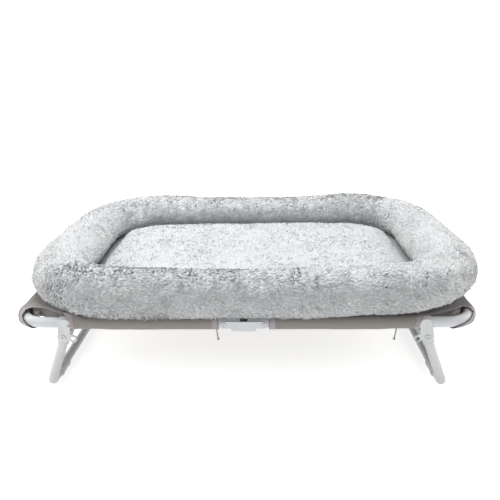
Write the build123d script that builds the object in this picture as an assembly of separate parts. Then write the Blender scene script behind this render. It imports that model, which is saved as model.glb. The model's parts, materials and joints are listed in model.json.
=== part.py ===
from build123d import *

import os
from math import atan2, cos, degrees, hypot, radians, sin, sqrt, tan

# A folding pet cot with a loose plush bed on it. Two U-shaped tube halves are hinged in the middle and
# carry a fabric sling, and a U-shaped leg folds under each end. Millimetres. X runs along the bed,
# Y towards the back and Z up. The origin is on the floor, under the middle of the plush bed.

# Frame tubes
frame_length = 640.0  # over the two end tubes
frame_width = 445.0  # over the two side rails
rail_height = 102.5  # from the floor to the rails' axis
rail_diameter = 15.0
tube_wall = 1.2
corner_radius = 38.0  # of the tube's axis
halves_gap = 8.0  # between the end plugs in the middle
plug_flange = 1.0
plug_depth = 12.0

# Centre hinges
hinge_spacing = 54.0  # between the two pivots of one hinge
hinge_wall = 1.5
hinge_side_gap = 0.3
hinge_end_radius = 5.0  # of the rounded end about a pivot
hinge_web_length = 33.0
hinge_rivet_diameter = 4.0

# Rivets and screws
rivet_head_radius = 3.4
rivet_head_height = 1.2
rivet_eye_radius = 1.1
rivet_eye_depth = 1.5
running_gap = 0.05  # radial, between a pin and what turns on it
seat_gap = 0.02  # radial, between two pieces that stay together
screw_radius = 1.7
screw_head_radius = 3.2
screw_head_height = 1.6
screw_reach = 7.0

# Leg brackets
leg_pivot_x = 246.5  # from the middle of the frame
leg_pivot_drop = 17.5  # below the rail's axis
bracket_length = 16.0
bracket_wall = 1.8
bracket_lean = 4.0  # the clamp sits this much further inboard than the pivot
ear_thickness = 2.4
ear_top_radius = 8.0
ear_boss_radius = 8.5
ear_side_gap = 0.3
roof_thickness = 1.4
roof_reach = 6.5  # outboard of the pivot
ear_edge_radius = 0.8
lug_inboard = 13.5  # of the pierced lug, from the pivot
lug_drop = 3.3
lug_radius = 5.2
lug_hole_radius = 3.6
lug_root_radius = 4.0
leg_pivot_diameter = 5.0

# Legs
leg_diameter = 13.0
leg_reach = 29.8  # how far the foot bar stands outside the pivots
leg_bend_radius = 8.0
socket_radius = 7.6
socket_length = 15.0  # beyond the pivot
socket_floor = 4.0  # from the pivot to the tube's end
heel_height = 5.6
stop_gap = 0.3

# Foot pads
pad_radius = 8.0
pad_rim_radius = 8.5
pad_rim_width = 3.0
pad_length = 27.0
pad_inset = 38.5  # of the pad's middle, from the rail's axis
foot_bar_height = 7.3

# Sling
cloth_thickness = 1.2
cloth_gap = 0.3
sling_edge_inset = 11.5  # of the flat cloth's edge, from the rail's axis
sleeve_bracket_end = 219.5  # of the side sleeve, from the middle of the frame
sleeve_hinge_end = 41.5
binding_width = 10.0
hinge_binding_width = 8.5
binding_thickness = 1.6
corner_wrap_angle = 32.0  # how far round the tube's corner the end sleeve follows it
corner_cut_radius = 160.0

# Drawcord tails under the front sleeve
cord_diameter = 1.8
cord_left_x = -38.0
cord_right_x = 209.0
cord_y_inset = 12.7  # from the rail's axis
cord_drop = 33.0
cord_arc_share = 0.45  # of the shorter run
cord_sway = 0.9
knot_radius = 1.9
knot_length = 4.0

# Plush bed
bed_end_margin = 20.0  # beyond the frame at each end, were it centred
bed_side_margin = 20.0  # beyond the frame at each side
bed_overhang = 10.5  # the bed's middle lies this far to the right of the frame's
bolster_half_width = 42.0  # in the middle of the long sides
bolster_end_half_width = 44.0
bolster_axis_radius = 118.0
bolster_front_height = 58.0  # in the middle of the front roll
bolster_back_height = 52.0
bolster_front_left_height = 63.5  # at the ring's four turns
bolster_front_right_height = 65.0
bolster_back_left_height = 60.0
bolster_back_right_height = 60.5
bolster_side_radius = 22.0
bolster_crown_radius = 27.0
plush_thickness = 2.5
fill_gap = 0.2
base_cloth_thickness = 1.0
base_cloth_margin = 12.0  # beyond the bolster's axis
pad_edge_height = 22.0
pad_crown_height = 28.0
pad_edge_gap = 0.3

# Worked out from the sizes above
rail_radius = rail_diameter / 2
rail_y = frame_width / 2 - rail_radius
end_x = frame_length / 2 - rail_radius
hinge_inner = rail_radius + hinge_side_gap
hinge_outer = hinge_inner + hinge_wall
leg_radius = leg_diameter / 2
ear_inner = socket_radius + ear_side_gap
ear_outer = ear_inner + ear_thickness
pivot_height = rail_height - leg_pivot_drop
leg_length = hypot(leg_reach, pivot_height - foot_bar_height)
leg_splay = degrees(atan2(leg_reach, pivot_height - foot_bar_height))
sleeve_inner = rail_radius + cloth_gap
sleeve_outer = sleeve_inner + cloth_thickness
cloth_bottom = rail_height + sleeve_inner
cloth_top = rail_height + sleeve_outer
cloth_edge_y = rail_y - sling_edge_inset
cloth_edge_x = end_x - sling_edge_inset
bed_length = frame_length + 2 * bed_end_margin
bed_width = frame_width + 2 * bed_side_margin
bed_bottom = cloth_top + cloth_gap
bolster_bottom = bed_bottom + base_cloth_thickness
bolster_half_x = bed_length / 2 - bolster_end_half_width
bolster_half_y = bed_width / 2 - bolster_end_half_width

on_left_frame = Pos(-bed_overhang, 0, 0)


def ring(outer_radius, inner_radius):
    """Face between two circles."""
    return Circle(outer_radius) - Circle(inner_radius)


def bar_y(radius, y_from, y_to, x=0, z=0):
    """Round bar along Y."""
    turned = Rot(X=-90) * Cylinder(radius, y_to - y_from, align=(Align.CENTER, Align.CENTER, Align.MIN))
    return Pos(x, y_from, z) * turned


def bar_x(radius, x_from, x_to, y=0, z=0):
    """Round bar along X."""
    turned = Rot(Y=90) * Cylinder(radius, x_to - x_from, align=(Align.CENTER, Align.CENTER, Align.MIN))
    return Pos(x_from, y, z) * turned


def swept_tube(path, outer_radius):
    start = Plane(origin=path @ 0, z_dir=path % 0)
    return sweep(start * ring(outer_radius, outer_radius - tube_wall), path=path)


def plate_xz(face, y_from, y_to):
    """Plate between two Y places, from a face drawn with X across and Y as height."""
    return extrude(Plane(origin=(0, y_to, 0), x_dir=(1, 0, 0), z_dir=(0, -1, 0)) * face, y_to - y_from)


def frame_tube():
    """Left half of the frame, with the holes for its two hinge rivets and two bracket screws."""
    inner_end = -halves_gap / 2 - plug_flange
    path = FilletPolyline(
        (inner_end, -rail_y, rail_height),
        (-end_x, -rail_y, rail_height),
        (-end_x, rail_y, rail_height),
        (inner_end, rail_y, rail_height),
        radius=corner_radius,
    )
    tube = swept_tube(path, rail_radius)
    for side in (-1, 1):
        y = side * rail_y
        hole_radius = hinge_rivet_diameter / 2 + running_gap
        tube -= bar_y(hole_radius, y - rail_diameter, y + rail_diameter, -hinge_spacing / 2, rail_height)
        screw_y = sorted((y, y - side * rail_diameter))
        tube -= bar_y(screw_radius + seat_gap, *screw_y, bracket_lean - leg_pivot_x, rail_height)
    return tube


def tube_end_plugs():
    """Plastic plugs in the left half's two inner ends."""
    flange_end = -halves_gap / 2
    plugs = []
    for side in (-1, 1):
        y = side * rail_y
        flange = bar_x(rail_radius, flange_end - plug_flange, flange_end, y, rail_height)
        spigot_radius = rail_radius - tube_wall - seat_gap
        spigot = bar_x(spigot_radius, flange_end - plug_flange - plug_depth, flange_end, y, rail_height)
        plugs.append(flange + spigot)
    return Compound(plugs)


def rivet(shank_radius, half_grip):
    """Tubular rivet along Y, with a dished head at each end."""
    body = bar_y(shank_radius, -half_grip, half_grip)
    for side in (-1, 1):
        outside = side * (half_grip + rivet_head_height)
        head = bar_y(rivet_head_radius, *sorted((side * half_grip, outside)))
        rim = head.edges().filter_by(GeomType.CIRCLE).sort_by(Axis.Y)[-1 if side > 0 else 0]
        body += fillet(rim, rivet_head_height / 2)
        body -= bar_y(rivet_eye_radius, *sorted((outside, outside - side * rivet_eye_depth)))
    return body


def hinge_channel(side):
    """Folded plate that both halves turn in; its web under the tube ends stops the middle sagging."""
    wall = SlotCenterToCenter(hinge_spacing, 2 * hinge_end_radius)
    wall += Pos(0, -hinge_outer / 2) * Rectangle(hinge_web_length, hinge_outer)
    channel = plate_xz(wall, -hinge_outer, hinge_outer)
    opening_top = hinge_outer + hinge_inner
    hollow = Box(frame_length, 2 * hinge_inner, opening_top, align=(Align.CENTER, Align.CENTER, Align.MIN))
    channel -= Pos(0, 0, -hinge_inner) * hollow
    corners = channel.edges().filter_by(Axis.X).sort_by(Axis.Z)[:2]
    channel = fillet(corners, hinge_wall / 2)
    for end in (-1, 1):
        pivot = end * hinge_spacing / 2
        channel -= bar_y(hinge_rivet_diameter / 2 + seat_gap, -2 * hinge_outer, 2 * hinge_outer, pivot)
    return Pos(0, side * rail_y, rail_height) * channel


def hull_of(centre_a, radius_a, centre_b, radius_b):
    """Face inside the two outer tangents of two circles, and inside the circles."""
    circles = Sketch() + [Pos(*centre_a) * Circle(radius_a), Pos(*centre_b) * Circle(radius_b)]
    return make_hull(circles.edges())


def leg_bracket():
    """Front left bracket: a clamp round the rail, two ears for the leg's pivot and a pierced lug."""
    clamp_radius = rail_radius + seat_gap + bracket_wall
    top_centre = (bracket_lean, clamp_radius - ear_top_radius)
    pivot = (0, -leg_pivot_drop)
    lug = (lug_inboard, -leg_pivot_drop - lug_drop)
    ear = hull_of(top_centre, ear_top_radius, pivot, ear_boss_radius)
    lug_arm = hull_of(lug, lug_radius, (bracket_lean, -leg_pivot_drop + lug_root_radius), lug_root_radius)
    bracket = Part()
    for face in (ear, lug_arm):
        plate = plate_xz(face, -ear_outer, -ear_inner)
        bracket += fillet(plate.edges().group_by(Axis.Y)[0], ear_edge_radius)
    back_ear = plate_xz(ear, ear_inner, ear_outer)
    bracket += fillet(back_ear.edges().group_by(Axis.Y)[-1], ear_edge_radius)
    bracket -= bar_y(lug_hole_radius, -2 * ear_outer, 0, *lug)
    half = bracket_length / 2
    clamp = bar_x(clamp_radius, bracket_lean - half, bracket_lean + half)
    roof_bottom = leg_pivot_drop - socket_radius - 2 * stop_gap
    roof_length = roof_reach + bracket_lean + half
    roof = Box(roof_length, 2 * ear_outer, roof_thickness, align=(Align.MIN, Align.CENTER, Align.MIN))
    bracket += clamp + Pos(-roof_reach, 0, -roof_bottom) * roof
    bracket -= bar_x(rail_radius + seat_gap, bracket_lean - bracket_length, bracket_lean + bracket_length)
    bracket -= bar_y(leg_pivot_diameter / 2 + seat_gap, -2 * ear_outer, 2 * ear_outer, 0, -leg_pivot_drop)
    bracket -= bar_y(screw_radius + seat_gap, 0, 2 * ear_outer, bracket_lean)
    return Pos(-leg_pivot_x, -rail_y, rail_height) * bracket


def bracket_screw():
    """Front left screw, driven through the inner ear into the rail."""
    shank = bar_y(screw_radius, ear_outer - screw_reach, ear_outer)
    head = bar_y(screw_head_radius, ear_outer, ear_outer + screw_head_height)
    rim = head.edges().filter_by(GeomType.CIRCLE).sort_by(Axis.Y)[-1]
    screw = shank + fillet(rim, screw_head_height / 2)
    return Pos(bracket_lean - leg_pivot_x, -rail_y, rail_height) * screw


# The left leg is drawn hanging straight down from its pivot, then leant out by the splay
def open_left_leg(piece):
    return Pos(-leg_pivot_x, 0, pivot_height) * Rot(Y=leg_splay) * piece


def leg_tube():
    path = FilletPolyline(
        (0, -rail_y, -socket_floor),
        (0, -rail_y, -leg_length),
        (0, rail_y, -leg_length),
        (0, rail_y, -socket_floor),
        radius=leg_bend_radius,
    )
    return open_left_leg(swept_tube(path, leg_radius))


def leg_socket(side):
    """Plastic end that the leg tube is pushed into. Its heel meets the bracket's roof when open."""
    dome = Circle(socket_radius) + Pos(-socket_radius / 2, heel_height / 2) * Rectangle(
        socket_radius, heel_height
    )
    head = plate_xz(dome, -socket_radius, socket_radius)
    sleeve = Cylinder(socket_radius, socket_length, align=(Align.CENTER, Align.CENTER, Align.MAX))
    bore_length = socket_length - socket_floor
    bore = Cylinder(leg_radius + seat_gap, bore_length, align=(Align.CENTER, Align.CENTER, Align.MAX))
    socket = head + sleeve - Pos(0, 0, -socket_floor) * bore
    socket -= bar_y(leg_pivot_diameter / 2 + running_gap, -2 * socket_radius, 2 * socket_radius)
    return open_left_leg(Pos(0, side * rail_y, 0) * socket)


def foot_pad(side):
    """Collar clipped on the foot bar, flat where it stands on the floor."""
    half = pad_length / 2
    collar = bar_y(pad_radius, -half, half)
    for end in (-1, 1):
        rim = sorted((end * half, end * (half - pad_rim_width)))
        collar += bar_y(pad_rim_radius, *rim)
    collar -= bar_y(leg_radius + seat_gap, -pad_length, pad_length)
    below = Box(pad_length, 2 * pad_length, pad_length, align=(Align.CENTER, Align.CENTER, Align.MAX))
    collar -= Pos(0, 0, -foot_bar_height) * below
    return Pos(-leg_pivot_x - leg_reach, side * (rail_y - pad_inset), foot_bar_height) * collar


def sleeve_face(strip_width):
    """Cloth section round a tube, with the flat cloth leaving its top towards +X."""
    touch = sqrt(sleeve_outer**2 - sleeve_inner**2)
    outline = Polyline(
        (0, sleeve_outer), (strip_width, sleeve_outer), (strip_width, sleeve_inner), (touch, sleeve_inner)
    )
    outline += ThreePointArc((touch, sleeve_inner), (sleeve_outer, 0), (0, -sleeve_outer))
    outline += ThreePointArc((0, -sleeve_outer), (-sleeve_outer, 0), (0, sleeve_outer))
    return make_face(outline) - Circle(sleeve_inner)


def sling_panel():
    """Left part of the sling: flat cloth, a sleeve over each rail and one over the end tube."""
    hinge_edge = -hinge_spacing / 2 - cloth_gap
    corner = (corner_radius - end_x, corner_radius - rail_y)
    inner_radius = corner_radius - sling_edge_inset
    turn_start = (-cloth_edge_x, corner[1])
    turn_middle = on_circle(corner, inner_radius, corner_wrap_angle / 2)
    flap = on_circle(corner, inner_radius, corner_wrap_angle)
    cut_end = (-sleeve_bracket_end - binding_width, -cloth_edge_y)
    front = Polyline((-cloth_edge_x, 0), turn_start)
    front += ThreePointArc(turn_start, turn_middle, flap)
    front += RadiusArc(flap, cut_end, corner_cut_radius)
    front += Polyline(cut_end, (hinge_edge, -cloth_edge_y), (hinge_edge, 0), (-cloth_edge_x, 0))
    half = extrude(Plane.XY.offset(cloth_bottom) * make_face(front), cloth_thickness)
    section = sleeve_face(sling_edge_inset)
    sleeve_length = sleeve_bracket_end - sleeve_hinge_end
    across = Plane(origin=(-sleeve_hinge_end, -rail_y, rail_height), x_dir=(0, 1, 0), z_dir=(-1, 0, 0))
    half += extrude(flipped(across, section), sleeve_length)
    along = Plane(origin=(-end_x, 0, rail_height), x_dir=(1, 0, 0), z_dir=(0, -1, 0)) * section
    half += extrude(along, -corner[1])
    corner_start = Pos(0, corner[1], 0) * along
    half += revolve(corner_start, Axis((*corner, 0), (0, 0, 1)), corner_wrap_angle)
    return half + mirror(half, about=Plane.XZ)


def on_circle(centre, radius, angle):
    """Point towards -X of a centre, turned by an angle towards -Y."""
    turned = radians(angle)
    return (centre[0] - radius * cos(turned), centre[1] - radius * sin(turned))


def flipped(plane, section):
    """Section on a plane whose height axis points down, turned over to stand upright."""
    return plane * mirror(section, about=Plane.XZ)


def sleeve_bindings():
    """Tapes sewn round the ends of the left half's side sleeves."""
    outer = sleeve_inner + binding_thickness
    tapes = []
    for side in (-1, 1):
        for near, width in ((sleeve_bracket_end, binding_width), (sleeve_hinge_end, -hinge_binding_width)):
            span = sorted((-near, -near - width))
            tape = bar_x(outer, *span, side * rail_y, rail_height)
            tapes.append(tape - bar_x(sleeve_inner, *span, side * rail_y, rail_height))
    return Compound(tapes)


def centre_strip():
    """Middle of the sling, which stays over the hinges."""
    strip = Box(hinge_spacing, 2 * cloth_edge_y, cloth_thickness)
    return Pos(0, 0, cloth_bottom + cloth_thickness / 2) * strip


def cord_route(x, lean):
    """Points of a tail that hangs from the sling's underside."""
    y = cord_y_inset - rail_y
    run = cord_drop / 3
    return [
        (x, y, cloth_bottom),
        (x, y, cloth_bottom - run),
        (x - lean * cord_sway, y, cloth_bottom - 2 * run),
        (x + lean * cord_sway, y, cloth_bottom - cord_drop),
    ]


def drawcord_tail(x, lean):
    points = [Vector(*point) for point in cord_route(x, lean)]
    runs = [after - before for before, after in zip(points, points[1:])]
    bend_radii = []
    for one, other in zip(runs, runs[1:]):
        shorter = min(one.length, other.length)
        bend_radii.append(cord_arc_share * shorter / tan(radians(one.get_angle(other)) / 2))
    print("drawcord arc radii", [round(radius, 1) for radius in bend_radii])
    path = FilletPolyline(*points, radius=bend_radii)
    start = Plane(origin=path @ 0, z_dir=path % 0)
    return sweep(start * Circle(cord_diameter / 2), path=path)


def drawcord_knot(x, lean):
    """Knot at the tail's end, drawn as a small barrel in line with it."""
    points = [Vector(*point) for point in cord_route(x, lean)]
    barrel = Cylinder(knot_radius, knot_length, align=(Align.CENTER, Align.CENTER, Align.MIN))
    barrel = fillet(barrel.edges().filter_by(GeomType.CIRCLE), knot_radius / 2)
    return Plane(origin=points[-1], z_dir=points[-1] - points[-2]) * barrel


def bolster_section(half_width, height, inset=0):
    """Stuffed roll in section: flat where it rests, drawn-in sides and a crowned top."""
    side_x = half_width - inset
    side_z = bolster_side_radius
    top_z = height - inset
    foot_radius = bolster_side_radius - inset
    foot_x = half_width - bolster_side_radius
    small = bolster_crown_radius - inset
    rise = top_z - side_z
    big = (side_x**2 + rise**2 - 2 * side_x * small) / (2 * (rise - small))
    small_centre = (side_x - small, side_z)
    big_centre_z = top_z - big
    slope = atan2(side_z - big_centre_z, small_centre[0])
    join = (small_centre[0] + small * cos(slope), side_z + small * sin(slope))
    middle = slope / 2
    shoulder = (small_centre[0] + small * cos(middle), side_z + small * sin(middle))
    corner = sin(radians(45))
    foot_bulge = (foot_x + foot_radius * corner, side_z - foot_radius * corner)
    outline = Polyline((-foot_x, inset), (foot_x, inset))
    outline += ThreePointArc((foot_x, inset), foot_bulge, (side_x, side_z))
    outline += ThreePointArc((side_x, side_z), shoulder, join)
    outline += ThreePointArc(join, (0, top_z), (-join[0], join[1]))
    outline += ThreePointArc((-join[0], join[1]), (-shoulder[0], shoulder[1]), (-side_x, side_z))
    outline += ThreePointArc((-side_x, side_z), (-foot_bulge[0], foot_bulge[1]), (-foot_x, inset))
    return make_face(outline)


def bolster(inset=0):
    """Ring of four rolls joined by quarter turns: full at its turns, lower at the back."""
    straight_x = bolster_half_x - bolster_axis_radius
    straight_y = bolster_half_y - bolster_axis_radius
    turn_heights = {
        (-1, -1): bolster_front_left_height,
        (1, -1): bolster_front_right_height,
        (-1, 1): bolster_back_left_height,
        (1, 1): bolster_back_right_height,
    }
    turns = {}
    for place, height in turn_heights.items():
        turns[place] = bolster_section(bolster_end_half_width, height, inset)
    whole = Part()
    for way, height in ((-1, bolster_front_height), (1, bolster_back_height)):
        middle = bolster_section(bolster_half_width, height, inset)
        roll = []
        for x, face in ((-straight_x, turns[-1, way]), (0, middle), (straight_x, turns[1, way])):
            across = Plane(origin=(x, way * bolster_half_y, 0), x_dir=(0, 1, 0), z_dir=(1, 0, 0))
            roll.append(across * face)
        whole += loft(roll)
    for side in (-1, 1):
        roll = []
        for way in (-1, 1):
            corner = (side * bolster_half_x, way * straight_y, 0)
            start = Plane(origin=corner, x_dir=(1, 0, 0), z_dir=(0, -1, 0)) * turns[side, way]
            pivot = Axis((side * straight_x, way * straight_y, 0), (0, 0, 1))
            whole += revolve(start, pivot, 90 * side * way)
            roll.append(start)
        whole += loft(roll)
    return Pos(0, 0, bolster_bottom) * whole


def rounded_slab(half_x, half_y, radius, bottom, height):
    return extrude(Plane.XY.offset(bottom) * RectangleRounded(2 * half_x, 2 * half_y, radius), height)


def base_pad(inset=0):
    """Flat pad inside the ring, with a low crown."""
    margin = bolster_end_half_width + pad_edge_gap + inset
    half_x = bolster_half_x - margin
    half_y = bolster_half_y - margin
    top = pad_crown_height - inset
    rise = pad_crown_height - pad_edge_height
    slab = rounded_slab(half_x, half_y, bolster_axis_radius - margin, inset, top - inset)
    for half, bar in ((half_x, bar_y), (half_y, bar_x)):
        crown_radius = (half**2 + rise**2) / (2 * rise)
        slab &= bar(crown_radius, -bed_length, bed_length, 0, top - crown_radius)
    return Pos(0, 0, bolster_bottom) * slab


def base_cloth():
    """Cloth that closes the bed's underside."""
    half_x = bolster_half_x + base_cloth_margin
    half_y = bolster_half_y + base_cloth_margin
    radius = bolster_axis_radius + base_cloth_margin
    return rounded_slab(half_x, half_y, radius, bed_bottom, base_cloth_thickness)


def across_middle(piece):
    return mirror(piece, about=Plane.YZ)


def to_back(piece):
    return mirror(piece, about=Plane.XZ)


cot = {}
left_bracket = leg_bracket()
left_screw = bracket_screw()
leg_rivet = rivet(leg_pivot_diameter / 2, ear_outer)
hinge_rivet = rivet(hinge_rivet_diameter / 2, hinge_outer)
for hand, place in (("left", lambda piece: piece), ("right", across_middle)):
    x_sign = -1 if hand == "left" else 1
    cot[f"{hand}_frame_tube"] = place(frame_tube())
    cot[f"{hand}_tube_end_plugs"] = place(tube_end_plugs())
    cot[f"front_{hand}_leg_bracket"] = place(left_bracket)
    cot[f"rear_{hand}_leg_bracket"] = place(to_back(left_bracket))
    cot[f"{hand}_bracket_screws"] = place(Compound([left_screw, to_back(left_screw)]))
    cot[f"{hand}_leg_tube"] = place(leg_tube())
    cot[f"sling_{hand}_panel"] = place(sling_panel())
    cot[f"{hand}_sleeve_bindings"] = place(sleeve_bindings())
    for end, side in (("front", -1), ("rear", 1)):
        y = side * rail_y
        cot[f"{end}_{hand}_leg_rivet"] = Pos(x_sign * leg_pivot_x, y, pivot_height) * leg_rivet
        cot[f"{end}_{hand}_hinge_rivet"] = Pos(x_sign * hinge_spacing / 2, y, rail_height) * hinge_rivet
        cot[f"{end}_{hand}_leg_socket"] = place(leg_socket(side))
        cot[f"{end}_{hand}_foot_pad"] = place(foot_pad(side))
for end, side in (("front", -1), ("rear", 1)):
    cot[f"{end}_hinge_channel"] = hinge_channel(side)
cot["sling_centre_strip"] = centre_strip()
for hand, x, lean in (("left", cord_left_x, 1), ("right", cord_right_x, -1)):
    cot[f"{hand}_drawcord_tail"] = drawcord_tail(x, lean)
    cot[f"{hand}_drawcord_knot"] = drawcord_knot(x, lean)

bed = {
    "bolster_cover": bolster() - bolster(plush_thickness),
    "bolster_filling": bolster(plush_thickness + fill_gap),
    "pad_cover": base_pad() - base_pad(plush_thickness),
    "pad_foam": base_pad(plush_thickness + fill_gap),
    "bed_base_cloth": base_cloth(),
}

os.makedirs("parts", exist_ok=True)
for name, piece in cot.items():
    export_step(on_left_frame * piece, f"parts/{name}.step")
for name, piece in bed.items():
    export_step(piece, f"parts/{name}.step")
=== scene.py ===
import json
import math

import bpy
import numpy as np
from mathutils import Matrix, Vector, kdtree, noise


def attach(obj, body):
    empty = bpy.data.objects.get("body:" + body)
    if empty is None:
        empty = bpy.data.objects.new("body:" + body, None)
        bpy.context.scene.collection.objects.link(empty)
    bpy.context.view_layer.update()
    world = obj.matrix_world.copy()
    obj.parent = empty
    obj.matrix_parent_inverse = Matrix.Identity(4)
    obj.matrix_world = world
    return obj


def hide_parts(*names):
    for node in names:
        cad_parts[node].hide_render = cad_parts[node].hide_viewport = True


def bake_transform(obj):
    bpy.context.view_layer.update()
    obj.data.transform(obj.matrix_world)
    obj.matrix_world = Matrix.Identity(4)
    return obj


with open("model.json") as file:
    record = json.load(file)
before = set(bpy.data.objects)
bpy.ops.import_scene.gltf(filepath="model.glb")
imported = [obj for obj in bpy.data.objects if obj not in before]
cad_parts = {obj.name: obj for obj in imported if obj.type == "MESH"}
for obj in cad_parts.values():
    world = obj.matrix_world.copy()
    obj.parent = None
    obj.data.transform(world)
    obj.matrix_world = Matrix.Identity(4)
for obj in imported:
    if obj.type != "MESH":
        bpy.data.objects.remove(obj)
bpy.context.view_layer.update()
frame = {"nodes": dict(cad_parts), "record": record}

frameMiddle = -0.0105  # the frame's middle sits left of the bed's
print("stage: frame loaded", len(frame["nodes"]), "nodes")


# camera first
cameraSetup = {
    "place": (0.0185, -0.8582, 0.4474),
    "pitch": 20.5,
    "yaw": -1.7,
    "roll": -0.9,
    "lens": 38.42,
    "sensor": 36.0,
}


def placeCamera(setup):
    pitch, yaw, roll = (math.radians(setup[k]) for k in ("pitch", "yaw", "roll"))
    ahead = Vector((math.sin(yaw) * math.cos(pitch), math.cos(yaw) * math.cos(pitch), -math.sin(pitch)))
    level = Vector((math.cos(yaw), -math.sin(yaw), 0))
    upright = level.cross(ahead)
    right = math.cos(roll) * level + math.sin(roll) * upright
    up = -math.sin(roll) * level + math.cos(roll) * upright
    turn = Matrix((right, up, -ahead)).transposed()
    data = bpy.data.cameras.new("studioCamera")
    data.lens, data.sensor_width = setup["lens"], setup["sensor"]
    data.clip_start, data.clip_end = 0.05, 20
    camera = bpy.data.objects.new("studioCamera", data)
    camera.matrix_world = Matrix.Translation(setup["place"]) @ turn.to_4x4()
    bpy.context.collection.objects.link(camera)
    bpy.context.scene.camera = camera


placeCamera(cameraSetup)
print("stage: camera placed")


# small helpers
def makeMesh(name, points, faces, uv=None):
    mesh = bpy.data.meshes.new(name)
    mesh.from_pydata([tuple(p) for p in points], [], [tuple(f) for f in faces])
    if uv is not None:
        layer = mesh.uv_layers.new(name="cloth")
        corners = readOut(mesh.loops, "vertex_index", 1, int)
        layer.data.foreach_set("uv", np.asarray(uv, float)[corners].ravel())
    mesh.polygons.foreach_set("use_smooth", [True] * len(mesh.polygons))
    mesh.update()
    return newObject(name, mesh)


def newObject(name, data):
    piece = bpy.data.objects.new(name, data)
    bpy.context.collection.objects.link(piece)
    return piece


def readOut(items, field, width=1, kind=float):
    values = np.empty(len(items) * width, kind)
    items.foreach_get(field, values)
    return values.reshape(-1, width) if width > 1 else values


def gridFaces(rows, columns, closeRows=False, closeColumns=False):
    faces = []
    for i in range(rows if closeRows else rows - 1):
        here, after = i * columns, ((i + 1) % rows) * columns
        for j in range(columns if closeColumns else columns - 1):
            k = (j + 1) % columns
            faces.append((here + j, here + k, after + k, after + j))
    return faces


def joinPatches(patches):
    points, faces, uv = [], [], []
    for patchPoints, patchFaces, patchUv in patches:
        first = len(points)
        points += [tuple(p) for p in patchPoints]
        uv += [tuple(p) for p in patchUv]
        faces += [tuple(first + i for i in f) for f in patchFaces]
    return points, faces, uv


def evaluatedMesh(piece, allLayers=False):
    graph = bpy.context.evaluated_depsgraph_get()
    return bpy.data.meshes.new_from_object(
        piece.evaluated_get(graph), preserve_all_data_layers=allLayers, depsgraph=graph)


def applyModifier(piece, kind, **settings):
    step = piece.modifiers.new("step", kind)
    for name, value in settings.items():
        setattr(step, name, value)
    bpy.context.view_layer.update()
    made = evaluatedMesh(piece, True)
    piece.modifiers.clear()
    piece.data = made


def paint(piece, material):
    piece.data.materials.clear()
    piece.data.materials.append(material)


def smoothStep(value):
    t = min(max(value, 0.0), 1.0)
    return t * t * (3 - 2 * t)


def wander(x, y, z, size, seed):
    return noise.noise(Vector((x / size + seed, y / size - seed, z / size + 2 * seed)))


def along(table, value):
    xs, ys = zip(*table)
    return float(np.interp(value, xs, ys))


def lengthsOf(curve):
    return np.concatenate(([0], np.cumsum(np.linalg.norm(np.diff(curve, axis=0), axis=1))))


def placesAt(curve, lengths, at):
    return np.stack([np.interp(at, lengths, curve[:, 0]), np.interp(at, lengths, curve[:, 1])], -1)


def arcPoints(centreX, centreY, radius, first, last, count):
    return [(centreX + radius * math.cos(angle), centreY + radius * math.sin(angle))
            for angle in np.linspace(first, last, count)]


# materials
def newMaterial(name, colour, roughness, **settings):
    material = bpy.data.materials.new(name)
    material.use_nodes = True
    tree = material.node_tree
    shader = tree.nodes["Principled BSDF"]
    shader.inputs["Base Color"].default_value = (*colour, 1)
    shader.inputs["Roughness"].default_value = roughness
    for socket, value in settings.items():
        shader.inputs[socket.replace("_", " ")].default_value = value
    return material, tree, shader


def add(tree, kind, links=None, **values):
    node = tree.nodes.new(kind)
    for key, value in values.items():
        if hasattr(node, key):
            setattr(node, key, value)
        else:
            node.inputs[key.replace("_", " ")].default_value = value
    for socket, source in (links or {}).items():
        tree.links.new(source, node.inputs[socket])
    return node


def wire(node, **sources):
    for socket, source in sources.items():
        node.id_data.links.new(source, node.inputs[socket.replace("_", " ")])


def reckon(tree, operation, *terms):
    node = add(tree, "ShaderNodeMath", operation=operation)
    for socket, term in zip(node.inputs, terms):
        if isinstance(term, (int, float)):
            socket.default_value = term
        else:
            tree.links.new(term, socket)
    return node.outputs[0]


def ramp(tree, source, *stops):
    node = add(tree, "ShaderNodeValToRGB", {"Fac": source})
    band = node.color_ramp
    while len(band.elements) < len(stops):
        band.elements.new(0.5)
    for element, (place, colour) in zip(band.elements, stops):
        element.position = place
        element.color = (*colour, 1)
    return node.outputs["Color"]


def levels(tree, source, low, high):
    return add(tree, "ShaderNodeMapRange", {"Value": source}, To_Min=low, To_Max=high).outputs["Result"]


def bumpFrom(tree, height, distance, strength, under=None):
    links = {"Height": height}
    if under is not None:
        links["Normal"] = under
    return add(tree, "ShaderNodeBump", links, Strength=strength, Distance=distance).outputs["Normal"]


def stretched(tree, place, stretch):
    return add(tree, "ShaderNodeMapping", {"Vector": place}, Scale=stretch).outputs["Vector"]


def objectPlace(tree, stretch=(1, 1, 1)):
    return stretched(tree, add(tree, "ShaderNodeTexCoord").outputs["Object"], stretch)


def noiseAt(tree, place, scale, detail, **settings):
    node = add(tree, "ShaderNodeTexNoise", {"Vector": place}, Scale=scale, Detail=detail, **settings)
    return node.outputs["Fac"]


def powderCoat():
    look = {"colour": (0.60, 0.61, 0.625), "shade": (0.54, 0.55, 0.57), "grain": 900, "drift": 9, "scuff": 60}
    material, tree, shader = newMaterial("powderCoat", look["colour"], 0.34, Coat_Weight=0.25,
                                         Coat_Roughness=0.18)
    place = objectPlace(tree)
    drift = noiseAt(tree, place, look["drift"], 3.0)
    peel = noiseAt(tree, place, look["grain"], 2.0)
    scuff = noiseAt(tree, objectPlace(tree, (1, 1, 6)), look["scuff"], 6.0)
    wire(shader, Base_Color=ramp(tree, drift, (0.35, look["shade"]), (0.65, look["colour"])),
         Roughness=levels(tree, scuff, 0.26, 0.44), Normal=bumpFrom(tree, peel, 0.00012, 0.35))
    return material


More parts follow.
